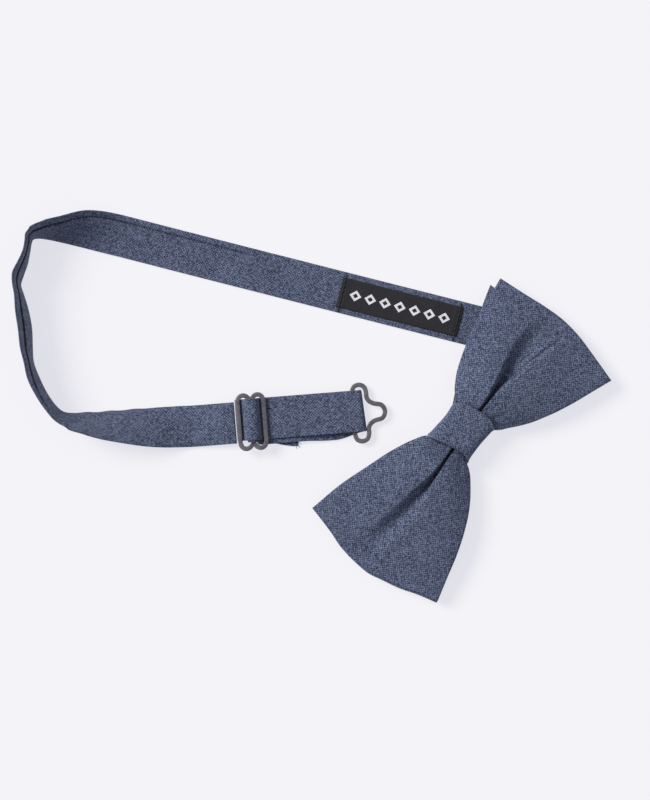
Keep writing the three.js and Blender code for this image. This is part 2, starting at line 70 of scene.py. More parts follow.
HALF = STRAP_WIDTH / 2
LAID = STRAP / 2
IN_KNOT = BAND + GAP + LAID
BAR_ROOM = math.hypot(WIRE, CLASP_THICK) / 2 + 0.1
CLASP_Z = STRAP + BAR_ROOM
RETURN_Z = STRAP + 0.74 + LAID
OUTGOING_Z = RETURN_Z + STRAP + GAP
SLIDER_Z = OUTGOING_Z + LAID + GAP + 0.05
BAR_Z = SLIDER_Z + SLIDER_THICK / 2
WRAP_RADIUS = math.hypot(WIRE, SLIDER_THICK) / 2 + GAP + LAID
HUMP_RADIUS = WRAP_RADIUS + STRAP + GAP
OUTER_BAR = 5.4
LOBE_REACH = 5.6
TONGUE_HALF = 3.3
EYE_REACH = 12.5
BEND_AT, BEND_RADIUS, BEND_RETURN = 11.0, 1.1, 4.5
HEM = 2.8  # from the strap's outer edge in to the fold of its hem
HEM_ROLL = 3.0  # how far that fold moves inward where the strap stands on edge


# ---- small helpers ---------------------------------------------------------------------------
def ease(x, low, high):
    """0 up to low, 1 from high, and smooth between them."""
    t = np.clip((np.asarray(x, float) - low) / (high - low), 0, 1)
    return t * t * (3 - 2 * t)


def between(x, low, high, fall, end):
    """1 from high to fall, and eased down to 0 at low and at end."""
    return ease(x, low, high) * (1 - ease(x, fall, end))


def through(points):
    """A smooth function of one number through a few (x, y) points, level past its ends."""
    xs, ys = (np.array(v, float) for v in zip(*sorted(points)))
    slopes = np.gradient(ys, xs)

    def value(x):
        x = np.clip(np.asarray(x, float), xs[0], xs[-1])
        i = np.clip(np.searchsorted(xs, x) - 1, 0, len(xs) - 2)
        h = xs[i + 1] - xs[i]
        t = (x - xs[i]) / h
        return (
            (1 + 2 * t) * (1 - t) ** 2 * ys[i]
            + t * (1 - t) ** 2 * h * slopes[i]
            + t * t * (3 - 2 * t) * ys[i + 1]
            + t * t * (t - 1) * h * slopes[i + 1]
        )

    return value


def unit(vectors):
    return vectors / np.linalg.norm(vectors, axis=1)[:, None]


def distances(points, power=1.0):
    """How far along a line of points each of them is."""
    steps = np.linalg.norm(np.diff(points, axis=0), axis=1)
    return np.concatenate([[0], np.cumsum(steps**power)])


def spaced(points, step):
    """Points at an even step along a smooth line through the given ones, any number of columns."""
    points = np.array(points, float)
    flat = points[:, : min(points.shape[1], 3)]
    chord = distances(flat, 0.5)
    fine = np.linspace(0, chord[-1], 40 * len(points))
    dense = np.stack([through(list(zip(chord, c)))(fine) for c in points.T], axis=1)
    along = distances(dense[:, : flat.shape[1]])
    at = np.linspace(0, along[-1], max(3, round(along[-1] / step) + 1))
    return np.stack([np.interp(at, along, c) for c in dense.T], axis=1)


def turned(x, y, angle):
    return x * np.cos(angle) - y * np.sin(angle), x * np.sin(angle) + y * np.cos(angle)


def from_lay(x, y):
    """The neckband's own axes to the part's."""
    return turned(np.asarray(x, float), np.asarray(y, float), LAY_ANGLE)


def from_adjuster(x, y):
    a, b = turned(np.asarray(x, float), np.asarray(y, float), ADJUSTER_TURN)
    return from_lay(a + ADJUSTER[0], b + ADJUSTER[1])


def waves(x, y, seed, size, count=14):
    """A soft, uneven surface about 1 high at its most, with bumps of about the given size."""
    r = np.random.default_rng(seed)
    total = np.zeros(np.broadcast(x, y).shape)
    for _ in range(count):
        angle, phase = r.uniform(0, 2 * math.pi, 2)
        length = size * r.uniform(0.7, 1.8)
        total += np.sin((x * math.cos(angle) + y * math.sin(angle)) * 2 * math.pi / length + phase)
    return total / count**0.5 / 1.4


def make(name, rings, across, along, material, close_rings=False, cap=True):
    """A closed body through rings of points, (rings, points, 3) in mm, with a UV map in metres.
    across and along give each point's place in the flat cloth; across has one column more than
    a ring has points, for the seam where the ring closes."""
    rings = np.asarray(rings, float)
    n, m = rings.shape[:2]
    mesh = bpy.data.meshes.new(name)
    faces, corners = [], []
    spans = n if close_rings else n - 1
    for i in range(spans):
        k = (i + 1) % n
        for j in range(m):
            q = (j + 1) % m
            faces.append((i * m + j, i * m + q, k * m + q, k * m + j))
            top = i + 1
            corners.append(((i, j), (i, j + 1), (top, j + 1), (top, j)))
    uv = []
    for face in corners:
        for i, j in face:
            uv.append((along[i, j] * MM, across[i, j] * MM))
    if cap and not close_rings:
        for i, flip in ((0, True), (n - 1, False)):
            for j in range(m // 2 - 1):
                face = [i * m + j, i * m + j + 1, i * m + m - 2 - j, i * m + m - 1 - j]
                spots = [(i, j), (i, j + 1), (i, m - 2 - j), (i, m - 1 - j)]
                if flip:
                    face, spots = face[::-1], spots[::-1]
                faces.append(tuple(face))
                uv += [(along[a, b] * MM, across[a, b] * MM) for a, b in spots]
    mesh.from_pydata((rings.reshape(-1, 3) * MM).tolist(), [], faces)
    layer = mesh.uv_layers.new(name="Cloth")
    layer.data.foreach_set("uv", np.array(uv, np.float32).ravel())
    mesh.polygons.foreach_set("use_smooth", [True] * len(mesh.polygons))
    mesh.materials.append(material)
    mesh.update()
    obj = bpy.data.objects.new(f"{name}_look", mesh)
    bpy.context.collection.objects.link(obj)
    return obj


def plain(name, rings, pitch, material, close_rings=False):
    """A thread or a wire, whose material has no use for its place in flat cloth."""
    n, m = rings.shape[:2]
    along = np.repeat(np.arange(n + 1)[:, None] * pitch, m + 1, axis=1)
    across = np.repeat(np.arange(m + 1)[None] * pitch, n + 1, axis=0)
    return make(name, rings, across, along, material, close_rings=close_rings)


# ---- materials -------------------------------------------------------------------------------
class Nodes:
    """Short names for building a material's nodes."""

    def __init__(self, name):
        self.material = bpy.data.materials.new(name)
        self.material.use_nodes = True
        self.tree = self.material.node_tree
        self.shader = self.tree.nodes["Principled BSDF"]

    def new(self, kind, **values):
        node = self.tree.nodes.new(kind)
        for key, value in values.items():
            if key.startswith("in_"):
                node.inputs[key[3:].replace("_", " ")].default_value = value
            else:
                setattr(node, key, value)
        return node

    def link(self, a, b):
        self.tree.links.new(a, b)

    def feed(self, socket, value):
        """Gives a socket a number, a colour or another node's output."""
        if isinstance(value, (int, float)):
            socket.default_value = value
        elif isinstance(value, tuple):
            socket.default_value = (*value, 1)
        else:
            self.link(value, socket)

    def surface(self, **values):
        for key, value in values.items():
            self.feed(self.shader.inputs[key.replace("_", " ")], value)

    def bump(self, height, strength, distance):
        node = self.new("ShaderNodeBump", in_Strength=strength, in_Distance=distance)
        self.link(height, node.inputs["Height"])
        self.link(node.outputs[0], self.shader.inputs["Normal"])

    def math(self, operation, a, b=0.0, c=0.0):
        node = self.new("ShaderNodeMath", operation=operation)
        for socket, value in zip(node.inputs, (a, b, c)):
            self.feed(socket, value)
        return node.outputs[0]

    def xyz(self, x, y, z=0.0):
        node = self.new("ShaderNodeCombineXYZ")
        for socket, value in zip(node.inputs, (x, y, z)):
            self.feed(socket, value)
        return node.outputs[0]

    def noise(self, vector, scale, detail=2.0, rough=0.5):
        node = self.new("ShaderNodeTexNoise", in_Scale=scale, in_Detail=detail, in_Roughness=rough)
        self.link(vector, node.inputs["Vector"])
        return node.outputs["Fac"]

    def ramp(self, value, stops):
        node = self.new("ShaderNodeValToRGB")
        ramp = node.color_ramp
        while len(ramp.elements) < len(stops):
            ramp.elements.new(0.5)
        for element, (place, colour) in zip(ramp.elements, stops):
            element.position = place
            element.color = (*colour, 1)
        self.link(value, node.inputs["Fac"])
        return node.outputs["Color"]

    def mix(self, fac, a, b):
        node = self.new("ShaderNodeMix", data_type="RGBA")
        for place, value in ((0, fac), (6, a), (7, b)):
            self.feed(node.inputs[place], value)
        return node.outputs[2]


def srgb(r, g, b):
    return tuple(
        (c / 12.92 if c <= 0.04045 else ((c + 0.055) / 1.055) ** 2.4)
        for c in (r / 255, g / 255, b / 255)
    )


def woven(name, pitch, dark, mid, light, streak):
    """Plain-woven cloth of mottled yarns. pitch is from one yarn to the next, in metres."""
    n = Nodes(name)
    uv = n.new("ShaderNodeUVMap", uv_map="Cloth")
    parts = n.new("ShaderNodeSeparateXYZ")
    n.link(uv.outputs[0], parts.inputs[0])
    # the yarns wander a little, so no two rows line up quite
    place = n.xyz(parts.outputs[0], parts.outputs[1])
    sway = n.math("MULTIPLY", n.math("SUBTRACT", n.noise(place, 260.0, 1.0), 0.5), pitch * 1.1)
    x = n.math("DIVIDE", n.math("ADD", parts.outputs[0], sway), pitch)
    y = n.math("DIVIDE", n.math("SUBTRACT", parts.outputs[1], sway), pitch)
    row, column = n.math("FLOOR", y), n.math("FLOOR", x)
    over = n.math("MODULO", n.math("ABSOLUTE", n.math("ADD", row, column)), 2.0)
    # each yarn has its own light and dark stretches
    weft = n.noise(n.xyz(n.math("MULTIPLY", x, 0.7), n.math("MULTIPLY", row, 7.3)), 1.0, 2.0, 0.6)
    warp = n.noise(
        n.xyz(n.math("MULTIPLY", column, 5.7), n.math("MULTIPLY", y, 0.7), 4.0), 1.0, 2.0, 0.6
    )
    yarn = n.new("ShaderNodeMix", data_type="FLOAT")
    n.link(over, yarn.inputs[0])
    n.link(weft, yarn.inputs[2])
    n.link(warp, yarn.inputs[3])
    fleck = n.noise(n.xyz(x, y, 9.0), 2.1, 2.0, 0.7)
    cloud = n.noise(place, 90.0, 2.0, 0.5)
    tone = n.math("MULTIPLY_ADD", n.math("SUBTRACT", yarn.outputs[0], 0.5), streak, 0.5)
    tone = n.math("MULTIPLY_ADD", n.math("SUBTRACT", fleck, 0.5), 0.6 * streak, tone)
    tone = n.math("MULTIPLY_ADD", n.math("SUBTRACT", cloud, 0.5), 0.08 * streak, tone)
    tone = n.math("MULTIPLY_ADD", n.math("SUBTRACT", over, 0.5), 0.13 * streak, tone)
    colour = n.ramp(tone, [(0.28, dark), (0.5, mid), (0.74, light)])
    # painted shade: the layer darkens the cloth towards near-black where shade falls in folds and at
    # joins; a piece without this layer reads as 0, which leaves its cloth alone
    crease = n.new("ShaderNodeAttribute", attribute_name="PaintedShade")
    colour = n.mix(crease.outputs["Fac"], colour, (0.004, 0.005, 0.009))
    # a yarn stands proud where it passes over, and dips between its neighbours
    bow_x = n.math("ABSOLUTE", n.math("SINE", n.math("MULTIPLY", x, math.pi)))
    bow_y = n.math("ABSOLUTE", n.math("SINE", n.math("MULTIPLY", y, math.pi)))
    height = n.math("ADD", n.math("MULTIPLY", bow_x, bow_y), n.math("MULTIPLY", fleck, 0.5))
    n.bump(height, 0.9, 0.00004)
    n.surface(Base_Color=colour, Roughness=0.92, Specular_IOR_Level=0.18)
    n.surface(Sheen_Weight=0.15, Sheen_Roughness=0.45, Sheen_Tint=(0.75, 0.8, 1.0))
    return n.material


def suiting(name, shade=1.0):
    tones = [srgb(34, 40, 60), srgb(72, 80, 103), srgb(113, 122, 147)]
    dark, mid, light = (tuple(c * shade for c in tone) for tone in tones)
    return woven(name, 0.00058, dark, mid, light, streak=1.5)


def gunmetal(name):
    """Dull plated steel, with the fine rub marks that a pressed wire has."""
    n = Nodes(name)
    spot = n.new("ShaderNodeTexCoord").outputs["Object"]
    cloud = n.noise(spot, 420.0, 4.0, 0.6)
    colour = n.ramp(cloud, [(0.3, (0.11, 0.107, 0.12)), (0.7, (0.2, 0.195, 0.215))])
    rough = n.new("ShaderNodeMapRange", in_To_Min=0.34, in_To_Max=0.55)
    n.link(n.noise(spot, 900.0, 3.0, 0.7), rough.inputs[0])
    n.bump(n.noise(spot, 2600.0, 2.0), 0.35, 0.00004)
    n.surface(Base_Color=colour, Metallic=0.75, Roughness=rough.outputs[0])
    return n.material


def thread(name, colour):
    """Twisted sewing thread."""
    n = Nodes(name)
    spot = n.new("ShaderNodeTexCoord").outputs["Object"]
    tone = n.noise(spot, 5200.0, 2.0)
    lit = tuple(min(1, c * 2.1 + 0.004) for c in colour)
    n.bump(tone, 0.7, 0.00006)
    n.surface(Base_Color=n.ramp(tone, [(0.35, colour), (0.75, lit)]), Roughness=0.6)
    return n.material


CLOTH = suiting("heathered_suiting")
# painted shade: the rear bow's cloth is the front's made a little darker (0.93 times), for the shade
# it lies in under the front bow
REAR_CLOTH_PAINTED_SHADE = suiting("rear_suiting_painted_shade", 0.93)
METAL = gunmetal("gunmetal_wire")
BLACK_THREAD = thread("black_thread", (0.006, 0.006, 0.007))
BLUE_THREAD = thread("blue_thread", (0.05, 0.065, 0.12))

# ---- straps ----------------------------------------------------------------------------------

def section():
    """A strap's section: (across from -1 to 1, height from -1 to 1) round a ring that runs under
    and back over, with softly rounded edges, and closer points at the hem's groove."""
    even = np.sin(np.linspace(-1, 1, 24) * math.pi / 2) * 0.99
    groove = 1 - (HEM + np.linspace(-0.7, HEM_ROLL + 1.0, 26)) / HALF
    a = np.sort(np.concatenate([even, groove]))
    round_off = (1 - np.abs(a) ** 19) ** 0.5
    under = np.stack([a, -round_off], axis=1)
    over = np.stack([a[::-1], round_off[::-1]], axis=1)
    return np.concatenate([under, over])


def paint_shade(obj, amount):
    """Stores painted shade: how dark a piece's cloth is painted at each of its points, from 0 to 1."""
    layer = obj.data.attributes.new("PaintedShade", "FLOAT", "POINT")
    layer.data.foreach_set("value", np.asarray(amount, np.float32).ravel())


def strap_mesh(name, middle, across, up, thickness, material, relief, shown=1, start=0.0,
               crease=None):
    """A strap through stations; across is half its width. relief(s, a) lifts the side shown,
    and crease(s, a) gives painted shade: how dark its cloth is painted where a fold closes."""
    shape = section()
    a, b = shape[:, 0], shape[:, 1]
    s = start + distances(middle)
    lift = thickness / 2 * np.tile(b, (len(s), 1))
    lift = lift + shown * relief(s[:, None], np.tile(a, (len(s), 1))) * (b * shown > 0)
    rings = (
        middle[:, None]
        + across[:, None] * a[None, :, None]
        + up[:, None] * lift[:, :, None]
    )
    width = np.linalg.norm(across, axis=1)[:, None]
    v = np.concatenate([a, [a[0]]])[None] * width
    # where a strap stands on edge, the shown side's yarns are laid out wider, so that they
    # read from above
    top = np.concatenate([b, [b[0]]]) > 0
    drawn = (0.45 + 0.55 * ease(np.abs(up[:, 2]), 0.1, 0.6))[:, None]
    v = v * np.where(top == (shown > 0), drawn, 1.0)
    v = v + np.where(top, 0, 3.1)[None]
    u = np.repeat(s[:, None] - (s[0] + s[-1]) / 2, len(a) + 1, axis=1)
    strap = make(name, rings, v, u, material)
    # painted shade along the lines where the strap's folds close
    if crease is not None:
        paint_shade(strap, crease(s[:, None], np.tile(a, (len(s), 1))) * (b * shown > 0))
    return strap, s


# ---- camera ----------------------------------------------------------------------------------
CAMERA_HEIGHT = 800.0
CAMERA_OVER = (-53.3, 12.6)
LENS = 91.1


def place_camera():
    """Looks straight down, turned with the neckband's own axes."""
    x, y = from_lay(*CAMERA_OVER)
    data = bpy.data.cameras.new("camera")
    data.lens = LENS
    data.clip_start = 0.01
    camera = bpy.data.objects.new("camera", data)
    camera.location = (float(x) * MM, float(y) * MM, CAMERA_HEIGHT * MM)
    camera.rotation_euler = (0, 0, LAY_ANGLE)
    bpy.context.collection.objects.link(camera)
    bpy.context.scene.camera = camera


place_camera()

# ---- the wings -------------------------------------------------------------------------------
# Each line is a smooth one through a few points. The first number of a pair is the distance
# along the bow from its middle, except in "end", which gives how far the wing reaches at each y.
WINGS = {
    "right": {
        "upper": [(0, 6.6), (7.5, 7.4), (9.6, 10.4), (15.4, 14.9), (22, 17.9), (28, 19.9),
                  (43.75, 23.9), (52.7, 25.0), (58, 25.7)],
        "lower": [(0, -6.6), (7.5, -7.8), (9.4, -10.6), (13, -13.7), (17.8, -17.6), (26, -22.5),
                  (35, -26.7), (44.4, -30.3), (53.5, -33.8)],
        "end": [(-34, 52.4), (-27, 54.4), (-20.9, 56.1), (-12.5, 58.3), (-2.6, 59.4),
                (3.9, 59.1), (14.4, 57.9), (26, 56.8)],
        "pleat": [(0, -0.6), (11, -0.5), (20, -0.1), (25, 0.2), (34, 0.9), (42, 1.3), (50, 0.9),
                  (60, 0.3)],
        "roll": [(0, 1.0), (14, 1.1), (20, 1.7), (26, 2.8), (34, 4.3), (42, 5.2), (50, 5.6)],
        "floor": [(0, 0.55), (14, 0.6), (20, 0.8), (25, 1.5), (30, 2.9), (37.5, 5.1), (44.6, 7.0),
                  (53, 8.8), (60, 9.8)],
        "step": [(0, 1), (20, 1), (26, 0.7), (33, 0.34), (44, 0.2), (53, 0.06), (60, 0)],
        "depth": [(0, 3.6), (9, 5.0), (16, 5.6), (25, 5.4), (34, 4.6), (43, 3.1), (51, 1.3),
                  (57, 0.3), (60, 0)],
        "crease": 1.25,
    },
    "left": {
        "upper": [(0, 6.6), (7.5, 7.4), (9.6, 9.9), (14.1, 12.8), (22, 16.5), (33.3, 20.3),
                  (44.7, 23.9), (60, 27.0)],
        "lower": [(0, -6.6), (7.0, -7.8), (9.0, -11.0), (15, -16.8), (21.8, -21.5),
                  (30.1, -25.5), (40, -29.1), (48.1, -31.4), (58, -34.4)],
        "end": [(-35, 57.1), (-26.6, 59.4), (-19.2, 62.0), (-12.3, 63.6), (-5.8, 65.0),
                (-1.5, 64.9), (4.8, 64.3), (8.7, 63.6), (14.7, 61.7), (27, 58.6)],
        "pleat": [(0, -1.2), (7, -1.7), (20, -2.3), (30, -2.2), (38, -1.9), (47, -0.8),
                  (60, 0.8), (65, 1.2)],
        "roll": [(0, 1.0), (14, 1.2), (22, 2.0), (30, 3.4), (38, 4.6), (48, 5.4)],
        "floor": [(0, 0.55), (18, 0.7), (24, 1.3), (29, 2.2), (35, 3.2), (42, 3.8), (50, 4.8),
                  (65, 6.5)],
        "step": [(0, 1), (18, 1), (25, 0.55), (31, 0.2), (38, 0), (65, 0)],
        "depth": [(0, 3.6), (9, 5.0), (18, 5.4), (24, 4.7), (29, 3.9), (36, 3.6), (45, 3.1),
                  (54, 1.3), (61, 0.2), (65, 0)],
        "crease": 0.0,
    },
}
REAR_UPPER = [(0, 6.0), (28, 19.4), (40, 23.0), (46, 25.0), (52.5, 27.0), (58, 28.6)]
REAR_END = {"left": 1.1, "right": -4.3}
# heights over the table, by distance from the bow's middle
CREST = [(0, 9.0), (9.5, 8.9), (11.5, 9.6), (14.5, 11.3), (22, 12.3), (34, 12.0), (46, 10.2),
         (56, 7.7), (66, 5.9)]
EDGE = [(0, 7.2), (9, 6.6), (14, 6.9), (22, 7.8), (34, 8.4), (46, 7.9), (56, 6.7), (66, 5.5)]
FRONT_THICK = 1.4
REAR_THICK = 1.1
BOW_GAP = 0.15
LINES = {side: {k: through(v) for k, v in lines.items() if k != "crease"}
         for side, lines in WINGS.items()}


def pucker(x, y, at_x, at_y, angle, length, width, depth):
    """A small crease that runs out from the knot and dies away."""
    u, v = turned(x - at_x, y - at_y, -math.radians(angle))
    return -depth * np.exp(-((u / length) ** 2) - (v / width) ** 2)


def wing_surface(side, x, y):
    """The front of a gathered wing: two crowned halves either side of a deep pleat, whose
    upper half rolls over into it."""
    line = LINES[side]
    low, high = line["lower"](x), line["upper"](x)
    pleat = line["pleat"](x)
    above = np.clip((y - pleat) / (high - pleat), 0, 1)
    below = np.clip((pleat - y) / (pleat - low), 0, 1)
    across = np.where(y > pleat, above, below)
    crest, edge = through(CREST)(x), through(EDGE)(x)
    z = edge + (crest - edge) * (1 - across**2.3)
    past = pleat - y
    floor, step = line["floor"](x), line["step"](x)
    fall = ease(past, -line["roll"](x), 0.3)
    soft = ease(past, 0.25 * floor, 1.25 * floor + 0.6)
    crisp = ease(past, floor - 0.3, floor + 0.3)
    z = z - line["depth"](x) * fall * (1 - step * crisp - (1 - step) * soft)
    fold = WINGS[side]["crease"] * between(x, 20, 30, 44, 57)
    return z - fold * np.exp(-np.abs((past - floor + 0.35) / 0.42) ** 1.5)


def bow_surface(side, x, y):
    sign = -1 if side == "left" else 1
    z = wing_surface(side, x, y) + 0.13 * waves(sign * x, y, 5, 24.0) * ease(x, 10, 26)
    if side == "right":
        z = z + pucker(x, y, 13, -7.2, -28, 3.6, 1.2, 0.5)
        z = z + pucker(x, y, 11, 5.5, 35, 4.0, 1.1, 0.3)
    else:
        z = z + pucker(x, y, 10, 4.6, 20, 5.0, 1.1, 0.4)
        z = z + pucker(x, y, 11, -8.2, -35, 4.5, 1.2, 0.35)
    return z


def bow_rings(rear, across_count, along_count):
    """Rings across one bow, from the left wing's end to the right's, and where each point lies."""
    k = np.linspace(-1, 1, across_count)
    size = np.abs(k)
    # closer together at the pleat and at the long edges
    k = np.sign(k) * (0.55 * size**1.5 + 0.45 * (1 - (1 - size) ** 1.5))
    shares = 1 - (1 - np.linspace(0, 1, along_count)) ** 1.3
    thick = REAR_THICK if rear else FRONT_THICK
    rings, lay = [], []
    for side, sign in (("left", -1), ("right", 1)):
        line = LINES[side]
        upper = through(REAR_UPPER) if rear and side == "right" else line["upper"]
        longer = REAR_END[side] if rear else 0.0
        for share in shares[::-1] if sign < 0 else shares[1:]:
            x = np.full_like(k, share * 57.0)
            for _ in range(6):
                low, high, pleat = line["lower"](x), upper(x), line["pleat"](x)
                y = pleat + np.where(k > 0, k * (high - pleat), k * (pleat - low))
                x = share * (line["end"](y) + longer)
            z = bow_surface(side, x, y) - (FRONT_THICK + BOW_GAP if rear else 0)
            # the turned edges roll under
            inward = np.minimum(np.minimum(y - low, high - y), (1 - share) * 57.0)
            z = z - 0.4 * (1 - ease(inward, 0, 0.9)) ** 2
            body = thick * (0.4 + 0.6 * ease(inward, 0, 0.9))
            top = np.stack([sign * x, y, z], axis=1)
            rings.append(np.concatenate([top - [0, 0, 1] * body[:, None], top[::-1]]))
            lay.append(np.stack([sign * x, y], axis=1))
    return np.array(rings), np.array(lay)


def build_bow(which, rear, across_count, along_count, material):
    rings, lay = bow_rings(rear, across_count, along_count)
    v = np.concatenate([lay[:, :, 1], lay[:, ::-1, 1] + 90, lay[:, :1, 1]], axis=1)
    u = np.concatenate([lay[:, :, 0], lay[:, ::-1, 0], lay[:, :1, 0]], axis=1)
    bow = make(f"{which}_bow", rings, v, u, material)
    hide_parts(*(f"{which}_bow_{ply}" for ply in ("face_panel", "stiffener", "back_panel")))
    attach(bow, "bow")
    return bow


front = build_bow("front", False, 150, 90, CLOTH)
rear = build_bow("rear", True, 110, 60, REAR_CLOTH_PAINTED_SHADE)


# ---- the knot --------------------------------------------------------------------------------
KNOT_RIGHT = [(-9.9, 8.9), (-7.3, 10.5), (-4.4, 11.2), (0, 10.8), (6.1, 9.8), (9.2, 7.8)]
KNOT_LEFT = [(-10.3, -8.2), (-7, -6.5), (-1.5, -6.9), (2.5, -7.8), (9, -9.7)]


def knot_band():
    """A band wrapped flat round the waist, its front edges leaning with the pull of the bow."""
    count, across_count = 200, 44
    t = np.linspace(0, 2 * math.pi, count, endpoint=False)
    half_y, half_z = KNOT_WIDTH / 2 + 0.25, KNOT_HEIGHT / 2
    power = 2 / 3.6
    y = half_y * np.sign(np.cos(t)) * np.abs(np.cos(t)) ** power
    z = half_z * (1 + np.sign(np.sin(t)) * np.abs(np.sin(t)) ** power)
    shown = ease(z, 3.5, 10.5)
    right = 8.9 + shown * (through(KNOT_RIGHT)(y) - 8.9)
    left = -8.9 + shown * (through(KNOT_LEFT)(y) + 8.9)
    w = np.linspace(-1, 1, across_count)
    rings = []
    for i in range(count):
        out = np.array([0, np.cos(t[i]), np.sin(t[i])])
        x = left[i] + (right[i] - left[i]) * (w + 1) / 2
        # the band dips a little in the middle, and its turned edges stand over the wings
        swell = -0.5 * (1 - w**2) + 0.14 * waves(x, y[i] * 2 + z[i], 11, 9.0) * (1 - w**4)
        swell = swell + 0.25 * np.exp(-(((np.abs(w) - 0.93) / 0.05) ** 2))
        swell = swell - 0.3 * (1 - ease(1 - np.abs(w), 0, 0.05)) ** 2
        top = np.stack([x, y[i] + out[1] * swell, z[i] + out[2] * swell], axis=1)
        top[:, 2] = np.maximum(top[:, 2], 0.02)
        depth = 0.9 * (0.6 + 0.4 * ease(1 - np.abs(w), 0, 0.07))
        inner = top - out * depth[:, None]
        rings.append(np.concatenate([inner, top[::-1]]))
    rings = np.array(rings)
    girth = np.concatenate([[0], np.cumsum(np.hypot(np.diff(y), np.diff(z)))])
    girth = np.append(girth, girth[-1] + np.hypot(y[0] - y[-1], z[0] - z[-1]))
    v = np.concatenate([w * 9, w[::-1] * 9 + 40, [-9]])
    u = np.repeat(girth[:, None], len(v), axis=1)
    v = np.repeat(v[None], len(girth), axis=0)
    band = make("knot_band", rings, v, u, CLOTH, close_rings=True)
    # painted shade: the turned edges are painted dark where they meet the wings, where shadow falls
    edge = 0.75 * np.exp(-(((1 - np.abs(w)) / 0.03) ** 2))
    paint_shade(band, np.tile(np.concatenate([edge, edge[::-1]]), count))
    return band


knot = knot_band()
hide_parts("knot_band", "gathering_thread")
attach(knot, "bow")

# ---- the neckband ----------------------------------------------------------------------------
# Its edge nearest the neck lies on the table; the third number is how far the other edge leans
# up, in degrees.
NECK_EDGE = [
    (-49.0, 47.2, 0), (-76.9, 54.3, 0), (-104.8, 61.4, 0), (-130.5, 68.0, 0), (-140.0, 70.4, 10),
    (-149.0, 72.7, 27), (-157.0, 74.7, 52), (-163.0, 76.1, 67), (-167.2, 76.5, 79),
    (-169.3, 75.0, 90), (-170.0, 71.0, 90), (-171.0, 66.0, 86), (-172.6, 61.5, 84), (-173.6, 57.8, 88),
    (-172.4, 54.0, 86), (-170.6, 48.0, 81), (-169.2, 40.5, 80), (-168.9, 33.0, 82),
    (-168.6, 27.5, 86), (-166.4, 21.5, 83), (-162.4, 13.8, 83), (-158.0, 8.6, 81),
    (-152.5, 7.4, 68), (-146.5, 7.7, 58), (-140.0, 8.1, 48), (-130.4, 8.9, 34),
    (-121.0, 9.6, 19), (-112.5, 10.2, 7),
]
STEP = 0.8


def square_stations(path, half):
    """Stations of a strap that runs square along a path of (x, z) points."""
    path = spaced(path, 0.35)
    run = unit(np.gradient(path, axis=0))
    zero = np.zeros(len(path))
    middle = np.stack([path[:, 0], zero, path[:, 1]], axis=1)
    across = np.stack([zero, half(path[:, 0]) + zero, zero], axis=1)
    up = np.stack([-run[:, 1], zero, run[:, 0]], axis=1)
    return middle, across, up


def arc(x, z, radius, start, stop):
    angles = np.radians(np.linspace(start, stop, 9))
    return [(x + radius * math.cos(a), z + radius * math.sin(a)) for a in angles]


def under_bow():
    """From the strap's short end, round the hook's bar and through the knot to the fold."""
    knot_half = KNOT_LENGTH / 2
    gathered = KNOT_WIDTH / 2 - 4.0
    half = lambda x: gathered + (HALF - gathered) * ease(np.abs(x), knot_half + 0.5, knot_half + 6)
    path = [(HOOK_AT + 6, CLASP_Z + BAR_ROOM + LAID)]
    path += [(HOOK_AT + 3, CLASP_Z + BAR_ROOM + LAID)]
    path += arc(HOOK_AT, CLASP_Z, BAR_ROOM + LAID, 90, 270)
    path += [(HOOK_AT + 4, LAID), (-knot_half - 5.5, LAID), (-knot_half - 0.8, IN_KNOT)]
    path += [(0, IN_KNOT), (knot_half + 0.8, IN_KNOT), (FOLD_AT - 19, IN_KNOT)]
    return square_stations(path, half)


def fold():
    """The diagonal fold: rows lie along the crease, and straighten again past it."""
    angle = FOLD_DIRECTION / 2
    crease = np.array([math.cos(angle), math.sin(angle), 0])
    beyond = np.array([math.sin(angle), -math.cos(angle), 0])
    radius = (IN_KNOT - LAID) / 2
    turn = math.pi * radius / math.sin(angle)
    middle, across, up = [], [], []
    spots = np.concatenate([np.linspace(-18, 0, 24), np.linspace(0, turn, 12)[1:],
                            np.linspace(turn, turn + 22, 28)[1:]])
    for s in spots:
        past = s * math.sin(angle)
        bend = min(max(past / radius, 0), math.pi)
        straight = max(past - math.pi * radius, 0) if past > 0 else -past
        out = radius * math.sin(bend) - straight
        spot = np.array([FOLD_AT, 0, IN_KNOT - radius * (1 - math.cos(bend))])
        middle.append(spot + crease * s * math.cos(angle) + beyond * out)
        up.append(np.array([0, 0, math.cos(bend)]) + beyond * math.sin(bend))
        run = FOLD_DIRECTION if s > 0 else 0.0
        side = -1 if s > 0 else 1
        square = np.array([-math.sin(run), math.cos(run), 0]) * side * HALF
        lean = 1 - ease(-s, 1, 17) if s <= 0 else 1 - ease(s - turn, 2, 20)
        reach = crease * HALF / math.sin(angle)
        across.append(reach * lean + square * (1 - lean))
    return tuple(np.array(v) for v in (middle, across, up))


def along_neck():
    """Past the fold, where the strap shows the side that it wears against the neck."""
    ends = [turned(x, HALF, ADJUSTER_TURN) for x in (-22.0, -13.0)]
    joined = [(a + ADJUSTER[0], b + ADJUSTER[1], 0) for a, b in ends]
    route = spaced([p for p in NECK_EDGE + joined], STEP)
    x, y, lean = route.T
    lean = np.radians(np.clip(lean, 0, 98))
    run = unit(np.gradient(route[:, :2], axis=0))
    outward = np.stack([run[:, 1], -run[:, 0]], axis=1)
    ox, oy = from_lay(outward[:, 0] * np.cos(lean) * HALF, outward[:, 1] * np.cos(lean) * HALF)
    across = np.stack([ox, oy, np.sin(lean) * HALF], axis=1)
    ex, ey = from_lay(x, y)
    edge = np.stack([ex, ey, LAID * np.maximum(np.cos(lean), 0.12)], axis=1)
    rx, ry = from_lay(run[:, 0], run[:, 1])
    forward = np.stack([rx, ry, np.zeros(len(x))], axis=1)
    return edge + across, across, unit(np.cross(forward, across))


under, crease, neck = under_bow(), fold(), along_neck()
middle, across, up = (np.concatenate(v) for v in zip(under, crease, neck))
